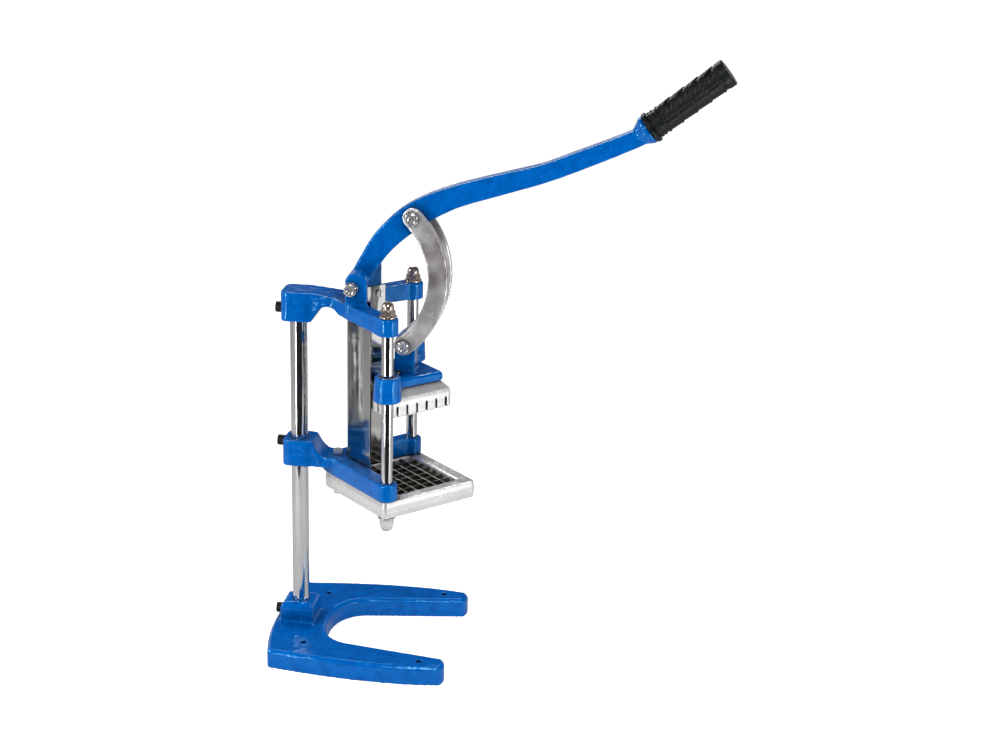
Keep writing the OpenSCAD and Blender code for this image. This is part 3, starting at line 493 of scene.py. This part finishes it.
rubber_black = (0.003, 0.005, 0.005, 1)
rubber_worn = (0.007, 0.009, 0.009, 1)
rubber_cloud = 6 * mm
rubber_smear = 1.5 * mm
rubber_grain = 0.6 * mm
rubber_grain_depth = 0.04 * mm
rubber_gloss = (0.34, 0.48)
rubber_ior = 1.36
grip_place = Vector((0, -370, 605.5)) * mm
grip_slope = math.radians(38.8)
grip_length = 98 * mm
tube_radius = 15.1 * mm
bore_radius = 9.05 * mm
end_wall = 4 * mm
end_face_radius = 9 * mm
flange_radius = 16.9 * mm
flange_length = 4 * mm
neck_radius = 13.9 * mm
neck_length = 15 * mm
stud_rows = (7.2 * mm, 11 * mm)
stud_half_length = 1.2 * mm
stud_height = 0.9 * mm
stud_step = math.radians(36)
collar_length = 3 * mm
block_length = 17.5 * mm
block_count = 4
block_slant = 0.75
block_start = 0.2
block_rise = 0.75
joint_depth = 0.8
groove_pitch = 5.8 * mm
groove_depth = 0.75
band_slant = 0.12
band_start = 0.15
band_rise = 0.55
lip_height = 0.5
rib_half_width = 0.8 * mm
gutter_place = 2.2 * mm
gutter_half_width = 0.9 * mm
gutter_depth = 0.9
end_groove_place = 0.9 * mm
end_groove_depth = 1.1 * mm
end_rounding = 0.7 * mm
grip_points_around = 160
grip_rings = 300


def make_rubber():
    """Black moulding with a fine dull grain."""
    material, tree, shader = new_material("black_rubber")
    tone = ramp(tree, noise(tree, rubber_cloud), rubber_black, rubber_worn)
    tree.links.new(tone, shader.inputs["Base Color"])
    gloss = ramp(tree, noise(tree, rubber_smear), *rubber_gloss)
    tree.links.new(gloss, shader.inputs["Roughness"])
    shader.inputs["IOR"].default_value = rubber_ior
    bump(tree, shader, [(noise(tree, rubber_grain, detail=2), rubber_grain_depth)])
    return material


def step(value, edge, width):
    """Rises smoothly from 0 to 1 over a width around an edge."""
    share = min(max((value - edge) / width + 0.5, 0), 1)
    return share * share * (3 - 2 * share)


def ridge(value, middle, half, soft):
    """1 within half of the middle, falling softly to 0 outside."""
    return step(half - abs(value - middle), 0, soft)


def neck_surface(z, turn):
    """The neck behind the flange, with two rows of low studs around it."""
    rows = max(ridge(z, row, half=stud_half_length, soft=0.5 * mm) for row in stud_rows)
    studs = ridge((turn / stud_step) % 1, 0.5, half=0.3, soft=0.08)
    flange_foot = 1 - step(z, flange_length + 0.6 * mm, 1.2 * mm)
    return neck_radius + stud_height * rows * studs + (flange_radius - neck_radius) * flange_foot


def end_surface(past_pattern, to_end):
    """The plain band at the grip's end: a groove in front of it and a rounded rim."""
    groove = ridge(past_pattern, end_groove_place, half=0.7 * mm, soft=0.6 * mm)
    rim = step(to_end, 0.4 * mm, 0.9 * mm)
    return tube_radius - end_groove_depth * groove - end_rounding * (1 - rim)


def block_height(along, arc):
    """Height share over the top: blocks that rise along the grip, cut by slanted grooves."""
    slanted = along - block_slant * arc
    share = (slanted / block_length) % 1
    joints = ridge(share, 0, half=0.05, soft=0.04) + ridge(share, 1, half=0.05, soft=0.04)
    grooves = ridge((slanted / groove_pitch) % 1, 0.5, half=0.13, soft=0.16)
    return block_start + block_rise * share - joint_depth * joints - groove_depth * grooves


def band_height(along, arc):
    """Height share below: plain bands that rise to a lip, with a notch after it."""
    share = ((along + band_slant * arc) / block_length) % 1
    lip = ridge(share, 0.93, half=0.05, soft=0.04)
    notch = ridge(share, 0.04, half=0.04, soft=0.04)
    return band_start + band_rise * share + lip_height * lip - notch


def grip_surface(z, turn):
    """Radius of the grip's surface; turn is 0 at the parting rib, positive over the top."""
    if z < flange_length:
        return flange_radius - 0.8 * mm * (1 - step(z, 0.3 * mm, 0.8 * mm))
    if z < neck_length:
        return neck_surface(z, turn)
    full = tube_radius - neck_radius
    along = z - neck_length
    if along < collar_length:
        return neck_radius + full * ridge(along, collar_length / 2, half=1.1 * mm, soft=0.6 * mm)
    along -= collar_length
    pattern = block_count * block_length
    if along > pattern:
        return end_surface(along - pattern, grip_length - z)
    arc = abs(turn) * tube_radius
    rib = ridge(arc, 0, half=rib_half_width, soft=0.5 * mm)
    gutter = ridge(arc, gutter_place, half=gutter_half_width, soft=0.6 * mm)
    height = block_height(along, arc) if turn > 0 else band_height(along, arc)
    height = max(height, 0) * (1 - gutter_depth * gutter)
    return neck_radius + full * min(max(height, rib), 1)


def make_grip():
    """A closed tube of rings, each point moved out to the pattern's height."""
    shape = bmesh.new()
    tilt = Matrix.Rotation(math.radians(90) - grip_slope, 3, "X")

    def ring(z, radius_at):
        points = []
        for index in range(grip_points_around):
            angle = 2 * math.pi * index / grip_points_around
            radius = radius_at(angle)
            local = Vector((radius * math.cos(angle), radius * math.sin(angle), z))
            points.append(shape.verts.new(grip_place + tilt @ local))
        return points

    def turn_of(angle):
        side = math.pi - angle if angle <= math.pi else angle - math.pi
        side = min(side, math.pi - side)
        return side if angle <= math.pi else -side

    rings = [ring(grip_length - end_wall, lambda angle: bore_radius), ring(0, lambda angle: bore_radius)]
    for index in range(grip_rings + 1):
        z = grip_length * index / grip_rings
        rings.append(ring(z, lambda angle: grip_surface(z, turn_of(angle))))
    rings.append(ring(grip_length - 0.2 * mm, lambda angle: end_face_radius))
    skin_rings(shape, rings)
    bmesh.ops.recalc_face_normals(shape, faces=shape.faces)
    return new_piece("moulded_grip", shape)


take_place(make_grip(), make_rubber(), "lever_arm", "grip")

# Links
# Two bowed aluminium castings, one on each side of the lever, polished but
# still cloudy; a bolt joins them to the lever, another to the crosshead.

link_face = 19.6 * mm
upper_eye = (-127.5 * mm, 501 * mm)
lower_eye = (-119 * mm, 360 * mm)
link_bolt_length = 45.7 * mm
stub_length = 9.85 * mm

# Cloudy aluminium with painted shade in corners, such as round the links' bolts.
cloudy = make_bright("cloudy_aluminium", (0.97, 0.96, 0.95, 1), gloss=(0.16, 0.28), grain=15 * mm,
                     depth=1.3 * mm, metallic=0.55, painted_shade_reach=6 * mm, cloud_tone=(0.3, 0.275, 0.265))
for side in ("left", "right"):
    cast_skin("link_casting_" + side, "link_" + side, "links", cloudy,
              cell=0.9 * mm, rounds=14, lumps=0.15 * mm, lump_size=20 * mm)
link_bolt = turned("link_bolt", bolt_profile(link_bolt_length), bolt_flats,
                   [(-link_face, *upper_eye)], [to_left])
take_place(link_bolt, zinc, "lever_arm", "link_top_bolt")
dress("link_top_nut", zinc)
dress("link_washers", zinc, edge=washer_edge)
stub_profile = head_profile + [(0, washer_radius, False), (-washer_thick, washer_radius, False),
                               (-washer_thick, shank_radius, False), (-stub_length, shank_radius, False),
                               (-stub_length, head_centre_radius, False)]
lower_bolt = turned("lower_link_bolt", stub_profile, bolt_flats,
                    [(side * link_face, *lower_eye) for side in (-1, 1)], [to_left, to_right])
take_place(lower_bolt, zinc, "links", "link_bottom_bolt")

# Crosshead
# The blue iron casting that slides on both rods, with bronze bushes in its bosses coloured near black
# as painted shade, and a raised block for the links' lower bolt.

cast_skin("crosshead_casting", "crosshead", "slider", enamel, cell=1.0 * mm)
# The bushes' near black is painted shade of the clearance round the rods.
bronze_in_painted_shade = make_bright("bronze_in_painted_shade", (0.09, 0.065, 0.045, 1), gloss=(0.3, 0.5), grain=1 * mm,
                           depth=0.02 * mm)
dress("slider_bushes", bronze_in_painted_shade)
dress("crosshead_pin", zinc, edge=0)

# Pusher
# An aluminium casting under the crosshead's plate, sawn into fingers that pass
# between the blades; zinc plated screws, coloured dark grey, hold it from above.

cast_skin("pusher_casting", "pusher", "slider", aluminium,
          cell=0.6 * mm, rounds=10, lumps=0.15 * mm)
dark_zinc = make_bright("dark_zinc", (0.12, 0.12, 0.125, 1), gloss=(0.25, 0.4), grain=2 * mm,
                        depth=0.02 * mm)
dress("pusher_screws", dark_zinc)

# Floor and backdrop
# A sheet of pale paper under and behind the press. It shows white to the camera and keeps
# the shadow. It ends half a metre from the press on the camera's side, as a table does.

sheet_front = -0.5
sheet_back = 9.0
sheet_half = 8.0
paper_white = (0.84, 0.84, 0.84, 1)
paper_in_gloss = (0.5, 0.49, 0.48, 1)
glow_to_camera = 0.75
glow_in_gloss = 0.02


def make_paper():
    """White paper that glows a little to the camera and is darker in reflections."""
    material, tree, shader = new_material("pale_paper")
    shader.inputs["Roughness"].default_value = 0.9
    shader.inputs["Specular IOR Level"].default_value = 0.2
    path = add_node(tree, "ShaderNodeLightPath")
    tone = blend(tree, path.outputs["Is Glossy Ray"], paper_white, paper_in_gloss)
    tree.links.new(tone, shader.inputs["Base Color"])
    camera_glow = add_node(tree, "ShaderNodeMath", operation="MULTIPLY")
    camera_glow.inputs[1].default_value = glow_to_camera
    tree.links.new(path.outputs["Is Camera Ray"], camera_glow.inputs[0])
    both_glows = add_node(tree, "ShaderNodeMath", operation="MULTIPLY_ADD")
    both_glows.inputs[1].default_value = glow_in_gloss
    tree.links.new(path.outputs["Is Glossy Ray"], both_glows.inputs[0])
    tree.links.new(camera_glow.outputs[0], both_glows.inputs[2])
    shader.inputs["Emission Color"].default_value = (1, 1, 1, 1)
    tree.links.new(both_glows.outputs[0], shader.inputs["Emission Strength"])
    return material


sheet = bmesh.new()
corners = ((sheet_front, -sheet_half), (sheet_back, -sheet_half),
           (sheet_back, sheet_half), (sheet_front, sheet_half))
sheet.faces.new([sheet.verts.new((x, y, 0)) for x, y in corners])
floor = new_piece("floor", sheet)
shade(floor, make_paper())

# Room and lamps
# A white room to the camera, and even light on the press. In the press's gloss the room is
# pale behind the press, dark on the camera's side and darker towards the ceiling.

ambient_tone = (0.96, 0.98, 1, 1)
ambient_strength = 0.38
dark_side = (-0.93, -0.37, 0)
room_tones = ((0.0, (0.85, 0.86, 0.88, 1)), (0.46, (0.8, 0.8, 0.8, 1)), (0.56, (0.55, 0.52, 0.49, 1)),
              (0.76, (0.36, 0.335, 0.31, 1)), (0.85, (0.02, 0.02, 0.022, 1)))
room_low = 0.9
room_high = 0.04
room_ceiling = 0.27
press_middle = (0, -0.12, 0.35)
near_side = (-0.05, -0.12, 0.3)


def make_room():
    """The world: one tone for the camera, one for even light, and a room for gloss."""
    world = bpy.data.worlds.new("studio")
    bpy.context.scene.world = world
    world.use_nodes = True
    tree = world.node_tree
    ambient = tree.nodes["Background"]
    ambient.inputs["Color"].default_value = ambient_tone
    ambient.inputs["Strength"].default_value = ambient_strength
    plain = add_node(tree, "ShaderNodeBackground", Color=(1, 1, 1, 1), Strength=1.0)
    room = add_node(tree, "ShaderNodeBackground", Strength=1.0)
    coords = add_node(tree, "ShaderNodeTexCoord")
    towards = add_node(tree, "ShaderNodeVectorMath", operation="DOT_PRODUCT")
    towards.inputs[1].default_value = dark_side
    tree.links.new(coords.outputs["Generated"], towards.inputs[0])
    spread = add_node(tree, "ShaderNodeMapRange")
    spread.inputs["From Min"].default_value = -1.0
    tree.links.new(towards.outputs["Value"], spread.inputs["Value"])
    bands = add_node(tree, "ShaderNodeValToRGB")
    while len(bands.color_ramp.elements) < len(room_tones):
        bands.color_ramp.elements.new(1.0)
    for element, (place, tone) in zip(bands.color_ramp.elements, room_tones):
        element.position = place
        element.color = tone
    tree.links.new(spread.outputs["Result"], bands.inputs["Fac"])
    tree.links.new(bands.outputs["Color"], room.inputs["Color"])
    height = add_node(tree, "ShaderNodeSeparateXYZ")
    tree.links.new(coords.outputs["Generated"], height.inputs[0])
    fading = ramp(tree, height.outputs["Z"], room_low, room_high, start=0.0, end=room_ceiling)
    tree.links.new(fading, room.inputs["Strength"])
    path = add_node(tree, "ShaderNodeLightPath")
    glossy = add_node(tree, "ShaderNodeMixShader")
    tree.links.new(path.outputs["Is Glossy Ray"], glossy.inputs[0])
    tree.links.new(ambient.outputs[0], glossy.inputs[1])
    tree.links.new(room.outputs[0], glossy.inputs[2])
    final = add_node(tree, "ShaderNodeMixShader")
    tree.links.new(path.outputs["Is Camera Ray"], final.inputs[0])
    tree.links.new(glossy.outputs[0], final.inputs[1])
    tree.links.new(plain.outputs[0], final.inputs[2])
    tree.links.new(final.outputs[0], tree.nodes["World Output"].inputs["Surface"])


def soft_lamp(name, place, target, size, watts):
    """A soft box aimed at a point; the camera doesn't see it, shiny pieces do."""
    light = bpy.data.lights.new(name, "AREA")
    light.shape = "RECTANGLE"
    light.size = size[0]
    light.size_y = size[1]
    light.energy = watts
    lamp = bpy.data.objects.new(name, light)
    bpy.context.scene.collection.objects.link(lamp)
    lamp.location = place
    lamp.rotation_mode = "QUATERNION"
    lamp.rotation_quaternion = (Vector(target) - Vector(place)).to_track_quat("-Z", "Y")
    lamp.visible_camera = False


make_room()
soft_lamp("top_box", place=(-0.95, -0.25, 1.35), target=(0, -0.15, 0.3), size=(0.5, 0.35), watts=6)
soft_lamp("window", place=(-0.2, 1.0, 0.9), target=press_middle, size=(0.3, 0.3), watts=4.8)
soft_lamp("back_box", place=(1.0, 0.1, 1.25), target=press_middle, size=(0.9, 0.25), watts=7)
soft_lamp("left_strip", place=(-0.6, 0.34, 0.36), target=(-0.05, -0.12, 0.36), size=(0.03, 0.7),
          watts=2.4)
soft_lamp("right_strip", place=(-0.45, -0.76, 0.3), target=near_side, size=(0.04, 0.6), watts=2.0)
soft_lamp("right_panel", place=(-0.22, -0.9, 0.4), target=near_side, size=(0.4, 0.8), watts=1.1)

# Camera
# It stands where the photograph was taken from, to the press's left and a little above it.
# Its place, angles and focal length were fitted to the photograph.

photo_width_pixels = 1000
focal_pixels = 1763.3
sensor_width = 36
camera_place = Vector((-1.7966, -0.4484, 0.9316))
yaw = math.radians(82.835)
pitch = math.radians(18.401)
roll = math.radians(1.591)

camera_data = bpy.data.cameras.new("camera")
camera_data.sensor_width = sensor_width
camera_data.lens = focal_pixels / photo_width_pixels * sensor_width
camera_data.clip_start = 0.05
camera_data.clip_end = 50
camera = bpy.data.objects.new("camera", camera_data)
bpy.context.scene.collection.objects.link(camera)
ahead = Vector((math.sin(yaw) * math.cos(pitch), math.cos(yaw) * math.cos(pitch), -math.sin(pitch)))
level_right = Vector((math.cos(yaw), -math.sin(yaw), 0))
level_up = level_right.cross(ahead)
camera_right = math.cos(roll) * level_right + math.sin(roll) * level_up
camera_up = math.cos(roll) * level_up - math.sin(roll) * level_right
axes = Matrix((camera_right, camera_up, -ahead)).transposed()
camera.matrix_world = Matrix.Translation(camera_place) @ axes.to_4x4()
bpy.context.scene.camera = camera
bpy.context.scene.view_settings.view_transform = "Standard"
